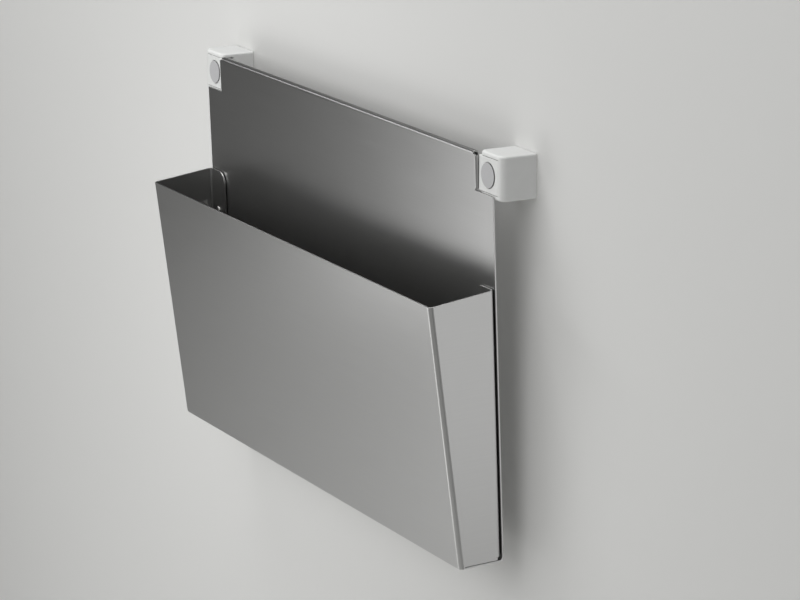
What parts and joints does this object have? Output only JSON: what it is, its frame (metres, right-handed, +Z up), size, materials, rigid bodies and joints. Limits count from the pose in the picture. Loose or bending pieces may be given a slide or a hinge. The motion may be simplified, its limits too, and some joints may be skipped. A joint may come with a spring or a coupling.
{
  "type": "medical chart rack",
  "caption": "Wall-hung sheet steel chart rack: a hemmed back plate with an open tapered pocket, clamped at its upper corners to moulded stand-off blocks with snap-in screw caps.",
  "frame": {"origin": "on the wall plane, midway between the rear faces of the two corner blocks, level with their clamp screws", "axes": "+X to the right seen from the front, +Y into the wall, +Z up"},
  "size_m": [0.4164, 0.0696, 0.2602],
  "materials": {
    "sheet_steel": "fine satin ground stainless sheet",
    "rivet_steel": "bright stainless rivet",
    "block_plastic": "white moulded plastic, fine matt",
    "cap_plastic": "mid-grey moulded plastic, matt",
    "screw_zinc": "zinc-plated steel",
    "insert_brass": "turned brass"
  },
  "bodies": {
    "rack": {"back_plate": "sheet_steel", "pocket_shell": "sheet_steel", "flange_rivet_left_1": "rivet_steel", "flange_rivet_left_2": "rivet_steel", "flange_rivet_left_3": "rivet_steel", "block_body_left": "block_plastic", "clamp_cover_left": "block_plastic", "clamp_screw_left": "screw_zinc", "washer_left": "screw_zinc", "threaded_insert_left": "insert_brass", "flange_rivet_right_1": "rivet_steel", "flange_rivet_right_2": "rivet_steel", "flange_rivet_right_3": "rivet_steel", "block_body_right": "block_plastic", "clamp_cover_right": "block_plastic", "clamp_screw_right": "screw_zinc", "washer_right": "screw_zinc", "threaded_insert_right": "insert_brass"},
    "cap_left": {"cover_cap_left": "cap_plastic"},
    "cap_right": {"cover_cap_right": "cap_plastic"}
  },
  "joints": [
    {"name": "cap_left_pull", "type": "slide", "parent": "rack", "child": "cap_left", "axis": [0, -1, 0], "range_m": [0, 0.0036]},
    {"name": "cap_right_pull", "type": "slide", "parent": "rack", "child": "cap_right", "axis": [0, -1, 0], "range_m": [0, 0.0036]}
  ]
}
